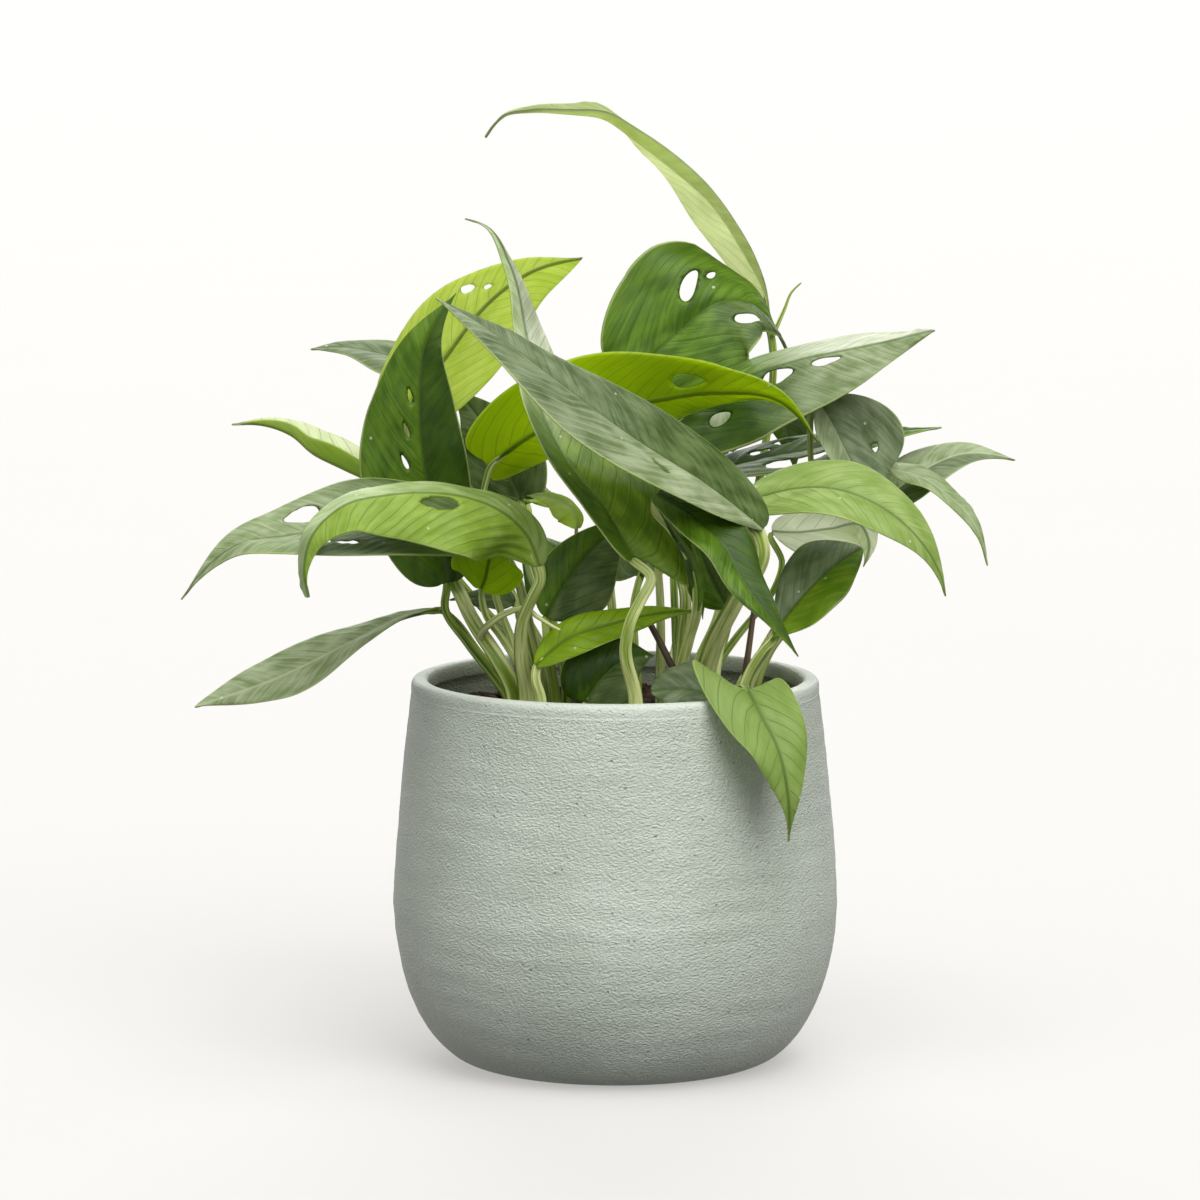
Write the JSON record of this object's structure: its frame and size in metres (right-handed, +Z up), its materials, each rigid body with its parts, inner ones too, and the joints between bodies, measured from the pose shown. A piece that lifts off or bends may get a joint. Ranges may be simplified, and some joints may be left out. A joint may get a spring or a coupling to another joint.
{
  "type": "potted pothos plant",
  "caption": "House plant with long pointed silvery and dark green leaves on bare stalks, growing in a round-bellied matte pot.",
  "frame": {"origin": "centre of the pot's flat base, on the surface that it stands on", "axes": "+Z up through the pot, +X to the right and -Y to the front as the plant is seen"},
  "size_m": [0.3394, 0.2427, 0.3876],
  "materials": {
    "leaf_dark": "satin leaf, dark green upper face",
    "leaf_grey": "satin leaf, silvery grey-green upper face",
    "leaf_light": "satin leaf, light green",
    "leaf_yellow": "thin leaf lit from behind, yellow-green",
    "bark": "dry brown stem",
    "pot_glaze": "matte fine-pitted sage grey",
    "potting_mix": "loose dark bark and peat mix"
  },
  "bodies": {
    "root": {"pot": "pot_glaze", "soil": "potting_mix", "leaf_crown": "leaf_grey", "leaf_long": "leaf_dark", "leaf_front": "leaf_grey", "leaf_upright": "leaf_dark", "leaf_backlit": "leaf_yellow", "leaf_far_left": "leaf_grey", "leaf_left_tip": "leaf_light", "leaf_big_left": "leaf_grey", "leaf_arching": "leaf_light", "leaf_low_left": "leaf_dark", "leaf_over": "leaf_yellow", "leaf_fenestrated": "leaf_dark", "leaf_big_right": "leaf_dark", "leaf_grey_right": "leaf_grey", "leaf_light_right": "leaf_light", "leaf_far_right": "leaf_dark", "leaf_drooping_right": "leaf_light", "leaf_slitted": "leaf_dark", "leaf_silver": "leaf_grey", "leaf_rolled": "leaf_dark", "leaf_glossy": "leaf_dark", "leaf_over_rim": "leaf_light", "leaf_rumpled": "leaf_grey", "leaf_bright_low": "leaf_yellow", "leaf_dark_center": "leaf_dark", "leaf_small_yellow": "leaf_yellow", "leaf_dark_low": "leaf_dark", "leaf_dark_behind": "leaf_dark", "leaf_pot_mouth": "leaf_dark", "leaf_little_curl": "leaf_yellow", "leaf_grey_center": "leaf_grey", "leaf_under_front": "leaf_dark", "leaf_back_top": "leaf_dark", "leaf_back_left": "leaf_light", "leaf_back_right": "leaf_grey", "leaf_back_low": "leaf_dark", "leaf_back_droop": "leaf_grey", "old_stem": "bark", "twig": "bark"}
  },
  "joints": []
}
